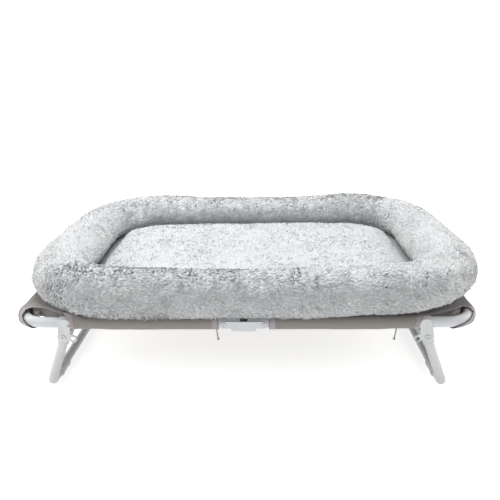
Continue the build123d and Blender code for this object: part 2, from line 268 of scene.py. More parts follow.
def mouldedWhite():
    look = {"colour": (0.59, 0.61, 0.60), "shade": (0.53, 0.55, 0.545), "flow": 70, "speckle": 2600}
    material, tree, shader = newMaterial("mouldedWhite", look["colour"], 0.3, Subsurface_Weight=0.08,
                                         Subsurface_Scale=0.003)
    flow = noiseAt(tree, objectPlace(tree, (1, 1, 0.3)), look["flow"], 4.0)
    speckle = noiseAt(tree, objectPlace(tree), look["speckle"], 1.0)
    wire(shader, Base_Color=ramp(tree, flow, (0.3, look["shade"]), (0.6, look["colour"])),
         Roughness=levels(tree, flow, 0.24, 0.42), Normal=bumpFrom(tree, speckle, 0.00008, 0.3))
    return material


def brightRivet():
    look = {"colour": (0.46, 0.46, 0.47), "dark": (0.26, 0.26, 0.27), "marks": 900}
    material, tree, shader = newMaterial("brightRivet", look["colour"], 0.3, Metallic=1.0)
    marks = noiseAt(tree, objectPlace(tree, (1, 0.2, 1)), look["marks"], 4.0)
    wire(shader, Base_Color=ramp(tree, marks, (0.35, look["dark"]), (0.6, look["colour"])),
         Roughness=levels(tree, marks, 0.22, 0.46), Normal=bumpFrom(tree, marks, 0.00006, 0.4))
    return material


def plugBlack():
    look = {"low": (0.02, 0.02, 0.022), "high": (0.045, 0.045, 0.05), "grain": 1800}
    material, tree, shader = newMaterial("plugBlack", (0.03, 0.03, 0.034), 0.55)
    grain = noiseAt(tree, objectPlace(tree), look["grain"], 2.0)
    wire(shader, Base_Color=ramp(tree, grain, (0.3, look["low"]), (0.7, look["high"])),
         Normal=bumpFrom(tree, grain, 0.0001, 0.5))
    return material


def ribs(tree, axis, pitch):
    apart = add(tree, "ShaderNodeSeparateXYZ", {"Vector": add(tree, "ShaderNodeUVMap").outputs["UV"]})
    return reckon(tree, "SINE", reckon(tree, "MULTIPLY", apart.outputs[axis], 2 * math.pi / pitch))


def canvasCloth():
    look = {"yarn": (0.29, 0.265, 0.245), "light": (0.40, 0.375, 0.35), "dark": (0.2, 0.185, 0.17),
            "pitch": 0.0022, "slubs": ((60, 900, 1), (900, 60, 1))}
    material, tree, shader = newMaterial("canvasCloth", look["yarn"], 0.82, Sheen_Weight=0.25,
                                         Sheen_Roughness=0.45)
    weave = reckon(tree, "MULTIPLY", ribs(tree, "X", look["pitch"]), ribs(tree, "Y", look["pitch"]))
    place = add(tree, "ShaderNodeUVMap").outputs["UV"]
    slubs = [noiseAt(tree, stretched(tree, place, stretch), 1.0, 3.0) for stretch in look["slubs"]]
    both = reckon(tree, "ADD", *slubs)
    tone = reckon(tree, "MULTIPLY_ADD", both, levels(tree, weave, 0.0, 1.0), levels(tree, weave, 0.0, 0.16))
    fine = bumpFrom(tree, weave, 0.00025, 0.6)
    tint = ramp(tree, tone, (0.28, look["dark"]), (0.48, look["yarn"]), (0.72, look["light"]))
    wire(shader, Base_Color=tint, Normal=bumpFrom(tree, both, 0.0003, 0.3, fine))
    return material


def grosgrain():
    look = {"rib": 0.0009, "high": (0.43, 0.375, 0.405), "low": (0.29, 0.25, 0.275), "wear": 220}
    material, tree, shader = newMaterial("grosgrain", look["high"], 0.62, Sheen_Weight=0.3,
                                         Sheen_Roughness=0.35)
    rib = ribs(tree, "X", look["rib"])
    wear = noiseAt(tree, objectPlace(tree), look["wear"], 4.0)
    tone = reckon(tree, "MULTIPLY_ADD", wear, 0.7, levels(tree, rib, 0.0, 0.3))
    wire(shader, Base_Color=ramp(tree, tone, (0.25, look["low"]), (0.65, look["high"])),
         Normal=bumpFrom(tree, rib, 0.00018, 0.6))
    return material


def sewingThread():
    look = {"low": (0.36, 0.33, 0.33), "high": (0.6, 0.56, 0.55), "twist": 900}
    material, tree, shader = newMaterial("sewingThread", (0.52, 0.48, 0.47), 0.6, Sheen_Weight=0.3)
    wave = add(tree, "ShaderNodeTexWave", {"Vector": objectPlace(tree)}, Scale=look["twist"], Distortion=1.5)
    twist = wave.outputs["Fac"]
    wire(shader, Base_Color=ramp(tree, twist, (0.2, look["low"]), (0.8, look["high"])),
         Normal=bumpFrom(tree, twist, 0.0001, 0.5))
    return material


def braidedCord():
    look = {"low": (0.2, 0.18, 0.17), "high": (0.46, 0.43, 0.41), "braid": 420, "grain": 1500}
    material, tree, shader = newMaterial("braidedCord", (0.36, 0.335, 0.32), 0.7, Sheen_Weight=0.3)
    place = objectPlace(tree)
    wave = add(tree, "ShaderNodeTexWave", {"Vector": place}, bands_direction="DIAGONAL", Scale=look["braid"],
               Distortion=0.6)
    both = reckon(tree, "MULTIPLY", wave.outputs["Fac"], noiseAt(tree, place, look["grain"], 3.0))
    wire(shader, Base_Color=ramp(tree, both, (0.1, look["low"]), (0.6, look["high"])),
         Normal=bumpFrom(tree, both, 0.0002, 0.7))
    return material


def plushHair():
    # the strands darken from tip to root: painted shade deep in the pile, where strands shadow each other
    look = {"root": (0.52, 0.532, 0.542), "middle": (0.72, 0.736, 0.748), "tip": (0.86, 0.874, 0.884),
            "patch": 26}
    material, tree, shader = newMaterial("plushHair", look["tip"], 0.85, Sheen_Weight=0.6,
                                         Sheen_Roughness=0.45)
    # the strand attribute runs from root to tip and carries this painted shade
    strand = add(tree, "ShaderNodeAttribute", attribute_name="strand").outputs["Fac"]
    patch = noiseAt(tree, objectPlace(tree), look["patch"], 4.0)
    tone = reckon(tree, "MULTIPLY_ADD", patch, 0.3, reckon(tree, "SUBTRACT", strand, 0.15))
    tint = ramp(tree, tone, (0.05, look["root"]), (0.5, look["middle"]), (0.95, look["tip"]))
    wire(shader, Base_Color=tint)
    return material


def plushGround():
    look = {"low": (0.46, 0.47, 0.48), "high": (0.62, 0.63, 0.64), "tuft": 240}
    material, tree, shader = newMaterial("plushGround", look["high"], 0.9, Sheen_Weight=0.3,
                                         Sheen_Roughness=0.5)
    tuft = noiseAt(tree, objectPlace(tree, (1, 1, 1.6)), look["tuft"], 5.0, Roughness=0.7)
    wire(shader, Base_Color=ramp(tree, tuft, (0.35, look["low"]), (0.65, look["high"])),
         Normal=bumpFrom(tree, tuft, 0.0016, 0.8))
    return material


def nonWoven():
    look = {"low": (0.26, 0.27, 0.28), "high": (0.42, 0.43, 0.44), "dots": 420, "fibre": 160}
    material, tree, shader = newMaterial("nonWoven", (0.34, 0.35, 0.36), 0.85)
    dots = add(tree, "ShaderNodeTexVoronoi", {"Vector": objectPlace(tree)}, Scale=look["dots"],
               Randomness=0.15)
    fibre = noiseAt(tree, objectPlace(tree, (1, 7, 1)), look["fibre"], 5.0)
    wire(shader, Base_Color=ramp(tree, fibre, (0.3, look["low"]), (0.7, look["high"])),
         Normal=bumpFrom(tree, dots.outputs["Distance"], 0.0002, 0.6))
    return material


finish = {
    "white_steel": powderCoat(),
    "white_plastic": mouldedWhite(),
    "rivet_steel": brightRivet(),
    "end_plug": plugBlack(),
    "sling_cloth": canvasCloth(),
    "binding_tape": grosgrain(),
    "thread": sewingThread(),
    "drawcord": braidedCord(),
    "plush": plushHair(),
    "plushGround": plushGround(),
    "base_cloth": nonWoven(),
}
slotOf = {part["node"]: part["material_slot"] for part in frame["record"]["subparts"]}
for node, piece in frame["nodes"].items():
    if slotOf[node] in finish:
        for place in piece.material_slots:
            place.material = finish[slotOf[node]]
print("stage: materials made", len(finish))


# sling
cloth = {
    "railY": 0.215, "railZ": 0.1025, "endX": 0.3125, "turn": 0.038,
    "radius": 0.0084,  # middle of the cloth, from the tube's axis
    "thickness": 0.001,
    "sewnAt": 0.0115,  # seam line, inboard of the rail's axis
    "seamShift": 0.0006, "seamDrop": 0.0011,  # of the sleeve's lower layer where it meets the seam
    "hem": 0.008,
    "facing": 0.0135,  # drop of the turned edge between the sleeves
    "tube": 0.0075,  # the frame tube's radius
    "hang": 0.0013,  # the side sleeves' slack under the rail
    "leaves": 252,  # degrees round the tube before the cloth heads for its seam
    "sag": 0.0003, "railCrinkle": 0.00035, "endCrinkle": 0.0004,
    "liftReach": 0.014,  # how far from a mouth the cloth still stands up
    "sleeveStart": 0.034, "acrossCount": 64, "sleeveRows": 70, "weldGap": 0.00002,
}
flatY = cloth["railY"] - cloth["sewnAt"]
flatX = cloth["endX"] - cloth["sewnAt"]
turnX, turnY = cloth["endX"] - cloth["turn"], cloth["railY"] - cloth["turn"]
leaveTurn = math.radians(cloth["leaves"])
seam = (-cloth["sewnAt"] + cloth["seamShift"], cloth["radius"] - cloth["seamDrop"])
# each corner: the slant of the side sleeve's end, the cut edge between the sleeves, how far round its turn
# the end sleeve reaches, and how the mouths stand off the tube
leftFront = {
    "slant": [(0, 0.2642), (0.0070, 0.2500), (0.0100, 0.2415), (0.0130, 0.2338), (0.0180, 0.2316),
              (0.0379, 0.2285), (0.09, 0.2270)],
    "cut": [(0.2642, 0.2035), (0.2710, 0.1985), (0.2800, 0.1945), (0.2890, 0.1925)],
    "reach": [(0, 33), (0.0115, 34), (0.0247, 38), (0.0379, 66), (0.09, 60)],
    "lift": 0.0050, "sideLoose": 0.0016, "outerLoose": 0.0009, "underLoose": 0.0022,
}
otherCorners = {
    "slant": [(0, 0.2670), (0.0063, 0.2509), (0.0115, 0.2330), (0.0247, 0.2285), (0.0379, 0.2275),
              (0.09, 0.2270)],
    "cut": [(0.2670, 0.2035), (0.2770, 0.1995), (0.2880, 0.1945), (0.2950, 0.1895)],
    "reach": [(0, 15), (0.0115, 16), (0.0247, 22), (0.0379, 78), (0.09, 70)],
    "lift": 0.0012, "sideLoose": 0.0003, "outerLoose": 0.0006, "underLoose": 0.0018,
}


def sleeveRuns(radius):
    # round the tube, then straight from where the cloth leaves it to the seam
    leave = (radius * math.sin(leaveTurn), radius * math.cos(leaveTurn))
    return radius * leaveTurn, leave, math.hypot(seam[0] - leave[0], seam[1] - leave[1])


def sleeveProfile(run, radius):
    arc, leave, straight = sleeveRuns(radius)
    if run <= arc:
        return radius * math.sin(run / radius), radius * math.cos(run / radius)
    if run <= arc + straight:
        share = (run - arc) / straight
        return leave[0] + share * (seam[0] - leave[0]), leave[1] + share * (seam[1] - leave[1])
    return seam[0] - (run - arc - straight), seam[1]


wholeArc, _, wholeStraight = sleeveRuns(cloth["radius"])
sleeveReach = cloth["sewnAt"] + wholeArc + wholeStraight


def slantLine(corner, runs):
    return [(along(corner["slant"], run), flatY + run) for run in runs]


def endLine(run, angle):
    # place on the end sleeve, flattened: out past the flat cloth's edge and round the tube's turn
    out = cloth["turn"] - cloth["sewnAt"] + run
    return turnX + out * math.cos(math.radians(angle)), turnY + out * math.sin(math.radians(angle))


def endPlace(run, s):
    # the same for a place s along the end, which is straight up to the turn
    return (flatX + run, s) if s <= turnY else endLine(run, math.degrees((s - turnY) / cloth["turn"]))


def endReach(corner, run):
    return turnY + cloth["turn"] * math.radians(along(corner["reach"], run))


for corner in (leftFront, otherCorners):
    edgeAngles = [angle for _, angle in corner["reach"]]
    corner["mouth"] = slantLine(corner, (0.0107, 0.005)) + corner["cut"] + [
        endLine(0, edgeAngles[0]), endLine(0.0115, edgeAngles[1])]
    corner["cut"].append(endLine(0, edgeAngles[0]))


def cornersOf(hand):
    # front, then rear: the rear corners, which the photo hides, follow the right front one
    xSign = -1 if hand == "left" else 1
    front = leftFront if hand == "left" else otherCorners
    return [dict(front, side=-1, xSign=xSign), dict(otherCorners, side=1, xSign=xSign)]


def nearMouth(u, v, corner):
    best = 1.0
    for (ax, ay), (bx, by) in zip(corner["mouth"], corner["mouth"][1:]):
        share = ((u - ax) * (bx - ax) + (v - ay) * (by - ay)) / ((bx - ax) ** 2 + (by - ay) ** 2)
        share = min(max(share, 0.0), 1.0)
        best = min(best, math.hypot(u - ax - share * (bx - ax), v - ay - share * (by - ay)))
    return best


def overTube(run, up):
    return max(math.cos(min(run / cloth["radius"], math.pi / 2)), 0) if up > 0 else 0


def clothPoint(u, v, corner):
    # from the flattened cloth, out from the frame's middle, to its place on the frame
    side, xSign = corner["side"], corner["xSign"]
    apart = nearMouth(u, v, corner) if u > 0.2 and v > 0.15 else 1.0
    lift = corner["lift"] * math.exp(-(apart / cloth["liftReach"]) ** 2)
    if u < turnX and v > cloth["railY"]:
        run = v - cloth["railY"]
        loose = corner["sideLoose"] * smoothStep((u - 0.222) / 0.014)
        loose *= 1 - smoothStep((run - 0.020) / 0.012)
        crinkle = cloth["railCrinkle"] * wander(u, v * 0.6, side, 0.017, 1.7)
        out, up = sleeveProfile(run, cloth["radius"] + loose + crinkle)
        slack = cloth["hang"] * smoothStep(-up / cloth["radius"]) * (1 - smoothStep((u - 0.18) / 0.03))
        slack *= 1 + 0.25 * wander(u, side, 2.0, 0.06, 4.0)
        z = cloth["railZ"] + up + lift * overTube(run, up) - slack
        return frameMiddle + xSign * u, side * (cloth["railY"] + out), z
    angle, run = 0.0, u - cloth["endX"]
    if v > turnY and u >= turnX:
        angle = math.atan2(v - turnY, u - turnX)
        run = math.hypot(u - turnX, v - turnY) - cloth["turn"]
    if run <= 0:
        sag = cloth["sag"] * (1 + wander(u, side * v, 0, 0.05, 3.1))
        return frameMiddle + xSign * u, side * v, cloth["railZ"] + cloth["radius"] + lift - sag
    close = smoothStep((angle * cloth["turn"] + min(v, turnY) - 0.165) / 0.03)
    under = smoothStep((run - 0.013) / 0.012)
    loose = close * (corner["outerLoose"] * (1 - under) + corner["underLoose"] * under)
    loose *= 1 - 0.9 * under * smoothStep((math.degrees(angle) - 34) / 26)
    crinkle = cloth["endCrinkle"] * wander(side * v, u * 0.6, 4.0, 0.02, 2.3)
    out, up = sleeveProfile(run, cloth["radius"] + loose + crinkle)
    far = cloth["turn"] + out
    x = frameMiddle + xSign * (turnX + far * math.cos(angle))
    y = side * (min(v, turnY) + far * math.sin(angle))
    return x, y, cloth["railZ"] + up + lift * overTube(run, up)


def evenly(curve, spacing):
    curve = np.array(curve)
    lengths = lengthsOf(curve)
    count = max(3, int(lengths[-1] / spacing))
    places = placesAt(curve, lengths, np.linspace(0, lengths[-1], count))
    return [tuple(map(float, place)) for place in places]


def gridPatch(rows, corner):
    # a patch of the cloth from its rows of flattened places
    places = [place for row in rows for place in row]
    points = [clothPoint(u, v, corner) for u, v in places]
    return points, gridFaces(len(rows), len(rows[0])), [(u, corner["side"] * v) for u, v in places]


def flatPatch(corner):
    # square from the hinge to the cut, then blended between the cut, the end and the corner's edge
    across = np.linspace(0, 1, cloth["acrossCount"])
    cut = np.array(corner["cut"])
    start, cutStart, endCorner = cloth["sleeveStart"], cut[0][0], cut[-1]
    columns = list(np.linspace(0, start, 25)) + list(np.linspace(start, cutStart, 70))[1:]
    rows = [[(u, t * flatY) for t in across] for u in columns]
    for share in np.linspace(0, 1, 20)[1:]:
        edge = placesAt(cut, np.linspace(0, 1, len(cut)), share)
        edge = edge - (1 - share) * np.array((cutStart, flatY)) - share * endCorner
        row = []
        for t in across:
            inner = np.array((cutStart, t * flatY))
            outer = np.array(endPlace(0, t * endReach(corner, 0)))
            row.append(tuple((1 - share) * inner + share * outer + t * edge))
        rows.append(row)
    return gridPatch(rows, corner)


def facingPatch(corner):
    # the cut edge turned down towards the inner side of the tube
    turned, uv = [], []
    edge = evenly(slantLine(corner, (0.0095, 0.0065, 0.003)) + corner["cut"], 0.0012)
    for level in np.linspace(0, 1, 6):
        for k, (u, v) in enumerate(edge):
            x, y, z = clothPoint(u, v, corner)
            inboard = cloth["railY"] - v if u < turnX else cloth["tube"] + 0.001
            drop = cloth["facing"]
            if inboard <= cloth["tube"]:
                room = z - cloth["railZ"] - math.sqrt(max(cloth["tube"] ** 2 - inboard**2, 0)) - 0.0008
                drop = min(drop, max(room, 0.0005))
            depth = level * drop
            out = 0.22 * depth * smoothStep((inboard - 0.006) / 0.004)
            share = k / (len(edge) - 1)
            turned.append((x + corner["xSign"] * out * share, y + corner["side"] * out, z - depth))
            uv.append((u, corner["side"] * (v + depth)))
    return turned, gridFaces(6, len(edge)), uv


def slingPatches(hand):
    patches = []
    across = np.linspace(0, 1, cloth["acrossCount"])
    profile = list(np.linspace(0, cloth["sewnAt"], 6))
    profile += list(np.linspace(cloth["sewnAt"], sleeveReach + cloth["hem"], 46))[1:]
    start = cloth["sleeveStart"]
    for corner in cornersOf(hand):
        rail = [[(start + k * (along(corner["slant"], run) - start), flatY + run) for run in profile]
                for k in np.linspace(0, 1, cloth["sleeveRows"])]
        end = [[endPlace(run, t * endReach(corner, run)) for t in across] for run in profile]
        points, faces, _ = gridPatch(end, corner)
        endUv = [(flatX + run, corner["side"] * t * endReach(corner, run)) for run in profile for t in across]
        patches += [flatPatch(corner), facingPatch(corner), gridPatch(rail, corner), (points, faces, endUv)]
    return patches


def makeSling(hand):
    patches = slingPatches(hand)
    piece = makeMesh(f"{hand}Sling", *joinPatches(patches))
    applyModifier(piece, "WELD", merge_threshold=cloth["weldGap"])
    applyModifier(piece, "SOLIDIFY", thickness=cloth["thickness"], offset=0)
    paint(piece, finish["sling_cloth"])
    return piece


leftSling = makeSling("left")
rightSling = makeSling("right")
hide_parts("sling_left_panel", "sling_centre_strip")
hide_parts("sling_right_panel")
for piece, half, pivotX, way in (
        (leftSling, "left_half", -0.0375, 1), (rightSling, "right_half", 0.0165, -1)):
    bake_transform(piece)
print("stage: sling sewn")


# binding tapes
tape = {
    "width": 0.0085, "hingeWidth": 0.0078, "hingeInset": 0.0008, "rows": 5, "roll": 0.0007,
    "narrow": 0.42,  # share of the width where the cut edge rolls between the sleeves
    "lift": 0.00065, "hingeLift": 0.00062, "spacing": 0.0016,
}


def tapeShare(u, v):
    beyondTurn = math.hypot(u - turnX, v - turnY) - (cloth["turn"] - cloth["sewnAt"]) if u > turnX else 0
    run = max(v - flatY, beyondTurn)
    return tape["narrow"] + (1 - tape["narrow"]) * smoothStep((run - 0.006) / 0.012)


def offsetCurve(curve, distance, varied=False):
    moved = []
    for i, here in enumerate(curve):
        before, after = np.array(curve[max(i - 1, 0)]), np.array(curve[min(i + 1, len(curve) - 1)])
        direction = (after - before) / max(np.linalg.norm(after - before), 1e-9)
        reach = distance * (tapeShare(*here) if varied else 1)
        moved.append((here[0] + direction[1] * reach, here[1] - direction[0] * reach))
    return moved


def clothNormal(u, v, corner, back):
    # from the slopes between "back" steps behind the place and one step ahead of it
    step = 0.0004
    slopes = []
    for du, dv in ((step, 0), (0, step)):
        ahead = np.array(clothPoint(u + du, v + dv, corner))
        slopes.append(ahead - np.array(clothPoint(u - back * du, v - back * dv, corner)))
    normal = np.cross(*slopes) * corner["side"] * corner["xSign"]
    return normal / max(np.linalg.norm(normal), 1e-12)


def tapeOn(curve, corner, flip, width, lift, varied=False):
    reaches = np.linspace(width, 0.0008, tape["rows"])
    steps = [(reach, lift) for reach in reaches] + [(-tape["roll"], lift * 0.5), (-tape["roll"], -lift * 0.5)]
    steps += [(reach, -lift) for reach in reaches[::-1]]
    lengths = lengthsOf(np.array(curve))
    points, uv = [], []
    for distance, height in steps:
        for i, (u, v) in enumerate(offsetCurve(curve, flip * distance, varied)):
            points.append(np.array(clothPoint(u, v, corner)) + clothNormal(u, v, corner, 1) * height)
            uv.append((lengths[i], distance))
    return points, gridFaces(len(steps), len(curve)), uv


def relax(curve, rounds):
    curve = np.array(curve)
    for _ in range(rounds):
        curve[1:-1] = (curve[:-2] + 2 * curve[1:-1] + curve[2:]) / 4
    return [tuple(p) for p in curve]


def mouthCurve(corner):
    # the side sleeve's end, the cut edge and the end sleeve's end in one line
    curve = slantLine(corner, np.linspace(sleeveReach, 0, 40)) + corner["cut"][1:-1]
    curve += [endLine(run, along(corner["reach"], run)) for run in np.linspace(0, sleeveReach, 40)]
    return relax(evenly(curve, tape["spacing"]), 5)


def hingeCurve(inset):
    return [(cloth["sleeveStart"] + inset, flatY + run) for run in np.linspace(0.002, sleeveReach, 50)]


def makeTapes(hand):
    patches = []
    for corner in cornersOf(hand):
        patches.append(tapeOn(mouthCurve(corner), corner, -1, tape["width"], tape["lift"], True))
        hinge = hingeCurve(tape["hingeInset"])
        patches.append(tapeOn(hinge, corner, 1, tape["hingeWidth"], tape["hingeLift"]))
    piece = makeMesh(f"{hand}EdgeTapes", *joinPatches(patches))
    paint(piece, finish["binding_tape"])
    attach(piece, f"{hand}_half")
    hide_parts(f"{hand}_sleeve_bindings")


stitch = {
    "length": 0.0026, "gap": 0.0012, "width": 0.0005, "height": 0.00025, "sunk": 0.0001,
    "fromEdge": 0.0066, "hingeInset": 0.006, "seamInset": 0.0015, "seamFrom": 0.009, "seamTo": 0.012,
    "first": 0.001, "spacing": 0.0004,
}


def sewAlong(line, corner, up):
    # small raised stitches laid end to end along a line on the flattened cloth
    points, faces, uv = [], [], []
    line = np.array(evenly(line, stitch["spacing"]))
    lengths = lengthsOf(line)
    at = stitch["first"]
    while at + stitch["length"] < lengths[-1]:
        ends = []
        for u, v in placesAt(line, lengths, at + stitch["length"] * np.array((0, 0.5, 1))):
            ends.append((np.array(clothPoint(u, v, corner)), clothNormal(u, v, corner, 0)))
        way = ends[2][0] - ends[0][0]
        way /= max(np.linalg.norm(way), 1e-12)
        first = len(points)
        for (here, normal), rise in zip(ends, (0.0, stitch["height"], 0.0)):
            across = np.cross(way, normal) * stitch["width"] / 2
            base = here + normal * (up - stitch["sunk"])
            top = base + normal * (rise + stitch["sunk"])
            points += [base - across, top - across * 0.6, top + across * 0.6, base + across]
            uv += [(0, 0), (0, 1), (1, 1), (1, 0)]
        faces += [(a + j, a + j + 1, a + j + 5, a + j + 4) for a in (first, first + 4) for j in range(3)]
        at += stitch["length"] + stitch["gap"]
    return points, faces, uv


def makeStitches(hand):
    patches = []
    seamY, seamX = flatY - stitch["seamInset"], flatX - stitch["seamInset"]
    for corner in cornersOf(hand):
        seamStart = cloth["sleeveStart"] + stitch["seamFrom"]
        seamEnd = corner["cut"][0][0] - stitch["seamTo"]
        mouth = offsetCurve(mouthCurve(corner), -stitch["fromEdge"], True)
        patches.append(sewAlong(mouth, corner, tape["lift"]))
        patches.append(sewAlong(hingeCurve(stitch["hingeInset"]), corner, tape["hingeLift"]))
        for line in ([(seamStart, seamY), (seamEnd, seamY)], [(seamX, 0.002), (seamX, turnY)]):
            patches.append(sewAlong(line, corner, cloth["thickness"] / 2))
    piece = makeMesh(f"{hand}Stitches", *joinPatches(patches))
    paint(piece, finish["thread"])
    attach(piece, f"{hand}_half")


for hand in ("left", "right"):
    makeTapes(hand)
    makeStitches(hand)
print("stage: tapes bound and stitched")


# plush bed
bed = {
    "halfX": 0.296, "halfY": 0.1985, "cornerRadius": 0.118, "bottom": 0.1128,
    "halfWidth": 0.042, "endHalfWidth": 0.044,
    "frontHeight": 0.058, "backHeight": 0.052,
    "turnHeights": {(-1, -1): 0.0635, (1, -1): 0.065, (-1, 1): 0.060, (1, 1): 0.0605},
    "sideRadius": 0.022, "crownRadius": 0.027,
    "pileDepth": 0.0012,  # of the fabric under the pile's tips
    "tuckUp": 0.0034, "tuckIn": 0.0060, "tuckFrom": 0.085,  # the front roll's foot draws in towards the right
    "stations": 520, "sectionPoints": 84,
}


def roundedPath(halfX, halfY, corner, count):
    # even places along a rounded rectangle from the start of its front edge, each with its way out
    sx, sy = halfX - corner, halfY - corner
    spans = [2 * sx, math.pi / 2 * corner, 2 * sy, math.pi / 2 * corner] * 2
    starts = [(-sx, -halfY), (halfX, -sy), (sx, halfY), (-halfX, sy)]
    centres = [(sx, -sy), (sx, sy), (-sx, sy), (-sx, -sy)]
    path = []
    for k in range(count):
        at, index = sum(spans) * k / count, 0
        while at > spans[index]:
            at -= spans[index]
            index += 1
        side = index // 2
        if index % 2 == 0:
            outX, outY = [(0, -1), (1, 0), (0, 1), (-1, 0)][side]
            path.append((starts[side][0] - outY * at, starts[side][1] + outX * at, outX, outY))
        else:
            angle = math.radians([-90, 0, 90, 180][side]) + at / corner
            outX, outY = math.cos(angle), math.sin(angle)
            path.append((centres[side][0] + corner * outX, centres[side][1] + corner * outY, outX, outY))
    return path, sum(spans)


def bolsterOutline(halfWidth, height, count):
    side, crown = bed["sideRadius"], bed["crownRadius"]
    rise = height - side
    big = (halfWidth**2 + rise**2 - 2 * halfWidth * crown) / (2 * (rise - crown))
    centreX = halfWidth - crown
    slope = math.atan2(side - (height - big), centreX)
    footX = halfWidth - side
    half = arcPoints(footX, side, side, -math.pi / 2, 0, 40)
    half += arcPoints(centreX, side, crown, 0, slope, 30)[1:]
    half += arcPoints(0, height - big, big, slope, math.pi / 2, 30)[1:]
    mirrored = [(-x, z) for x, z in reversed(half[:-1])]
    foot = [(x, 0.0) for x in np.linspace(-footX, footX, 20)[1:]]
    outline = np.array(half + mirrored + foot)
    lengths = lengthsOf(outline)
    return placesAt(outline, lengths, np.linspace(0, lengths[-1], count, endpoint=False))


# folds pressed into the inside of the turns: place along the ring as a share, depth and width
folds = [
    (0.655, 0.0045, 0.006), (0.672, 0.0060, 0.006), (0.693, 0.0050, 0.007), (0.712, 0.0030, 0.006),
    (0.912, 0.0050, 0.008), (0.935, 0.0055, 0.008), (0.958, 0.0035, 0.007),
    (0.445, 0.0035, 0.007), (0.470, 0.0045, 0.007), (0.492, 0.0035, 0.006),
    (0.228, 0.0030, 0.007), (0.252, 0.0045, 0.008), (0.272, 0.0030, 0.006),
]


def rollHeight(x, y):
    # the turns' heights run into each other along the ends and into the lower middle along the long sides
    straightX, straightY = bed["halfX"] - bed["cornerRadius"], bed["halfY"] - bed["cornerRadius"]
    side = -1 if x < 0 else 1
    way = -1 if y < 0 else 1
    turns = bed["turnHeights"]
    if abs(y) < straightY:
        share = (y + straightY) / (2 * straightY)
        return turns[(side, -1)] + (turns[(side, 1)] - turns[(side, -1)]) * share
    middle = bed["frontHeight"] if way < 0 else bed["backHeight"]
    share = min(abs(x) / straightX, 1)
    share = share * share * (1.6 - 0.6 * share)
    return middle + (turns[(side, way)] - middle) * share


def foldDepth(ringShare, total, across, up, halfWidth):
    groove = 0.0
    innerSide = smoothStep((0.35 * halfWidth - across) / (1.1 * halfWidth))
    for place, depth, width in folds:
        away = (ringShare - place) * total + 0.05 * across + 0.004 * wander(0, across, up, 0.03, place * 9)
        groove += depth * math.exp(-((away / width) ** 2)) * innerSide * smoothStep(up / 0.02)
    return groove


def bolsterGrid():
    path, total = roundedPath(bed["halfX"], bed["halfY"], bed["cornerRadius"], bed["stations"])
    points = np.zeros((bed["stations"], bed["sectionPoints"], 3))
    for i, (x, y, outX, outY) in enumerate(path):
        height = rollHeight(x, y)
        endShare = min(abs(x) / (bed["halfX"] - bed["cornerRadius"]), 1)
        halfWidth = bed["halfWidth"] + (bed["endHalfWidth"] - bed["halfWidth"]) * endShare
        for j, (across, up) in enumerate(bolsterOutline(halfWidth, height, bed["sectionPoints"])):
            px, py, pz = x + outX * across, y + outY * across, bed["bottom"] + up
            outward = Vector((outX * across, outY * across, up - height * 0.45))
            outward.normalize()
            swell = 0.0016 * wander(px, py, pz, 0.085, 5.2) + 0.0010 * wander(px, py, pz, 0.035, 8.4)
            groove = foldDepth(i / bed["stations"], total, across, up, halfWidth)
            push = swell * smoothStep(up / 0.012) - groove - bed["pileDepth"]
            pz += outward.z * push if up > 0.002 else 0
            tuck = smoothStep((x - bed["tuckFrom"]) / 0.09) * smoothStep((-outY - 0.1) / 0.7)
            tuck *= smoothStep(across / 0.03) * (1 - smoothStep(up / 0.03))
            px, py = px - outX * bed["tuckIn"] * tuck, py - outY * bed["tuckIn"] * tuck
            pz += bed["tuckUp"] * tuck * smoothStep((across - 0.016) / 0.012)
            points[i, j] = (px + outward.x * push, py + outward.y * push, max(pz, bed["bottom"] + 0.0002))
    return points


stuffing = {"voxel": 0.006, "frames": 20, "shrink": 0.0014, "cap": 0.0045, "heldBelow": 0.0025,
            "evening": 14, "evenShare": 0.6}
coverCloth = {
    "quality": 5, "mass": 0.25, "tension_stiffness": 18, "compression_stiffness": 12,
    "bending_stiffness": 0.4, "use_pressure": True, "uniform_pressure_force": 4.0,
    "vertex_group_mass": "held",
}


def evenMesh(piece, restZ):
    # even faces for the cloth, drawn in a little above the foot, which is held
    cover = newObject(piece.name + "Cover", piece.data.copy())
    remesh = cover.modifiers.new("even", "REMESH")
    remesh.mode = "VOXEL"
    remesh.voxel_size = stuffing["voxel"]
    evened = evaluatedMesh(cover)
    cover.modifiers.clear()
    cover.data = evened
    held = cover.vertex_groups.new(name="held")
    for vertex in evened.vertices:
        if vertex.co.z > restZ + 0.002:
            vertex.co = vertex.co - vertex.normal * stuffing["shrink"]
    for vertex in evened.vertices:
        held.add([vertex.index], 1.0 if vertex.co.z < restZ + stuffing["heldBelow"] else 0.0, "REPLACE")
    return cover


def blowUp(cover):
    blow = cover.modifiers.new("blow", "CLOTH")
    for name, value in coverCloth.items():
        setattr(blow.settings, name, value)
    blow.settings.effector_weights.gravity = 0
    blow.collision_settings.use_self_collision = False
    blow.point_cache.frame_start = 1
    blow.point_cache.frame_end = stuffing["frames"]
    for frameNumber in range(1, stuffing["frames"] + 1):
        bpy.context.scene.frame_set(frameNumber)
    return readOut(evaluatedMesh(cover).vertices, "co", 3)


def evenOut(moved, ends):
    # each point's movement drawn towards its neighbours'
    neighbours = np.maximum(np.bincount(ends.ravel(), minlength=len(moved))[:, None], 1)
    share = stuffing["evenShare"]
    for _ in range(stuffing["evening"]):
        total = np.zeros_like(moved)
        np.add.at(total, ends[:, 0], moved[ends[:, 1]])
        np.add.at(total, ends[:, 1], moved[ends[:, 0]])
        moved = (1 - share) * moved + share * total / neighbours
    return moved


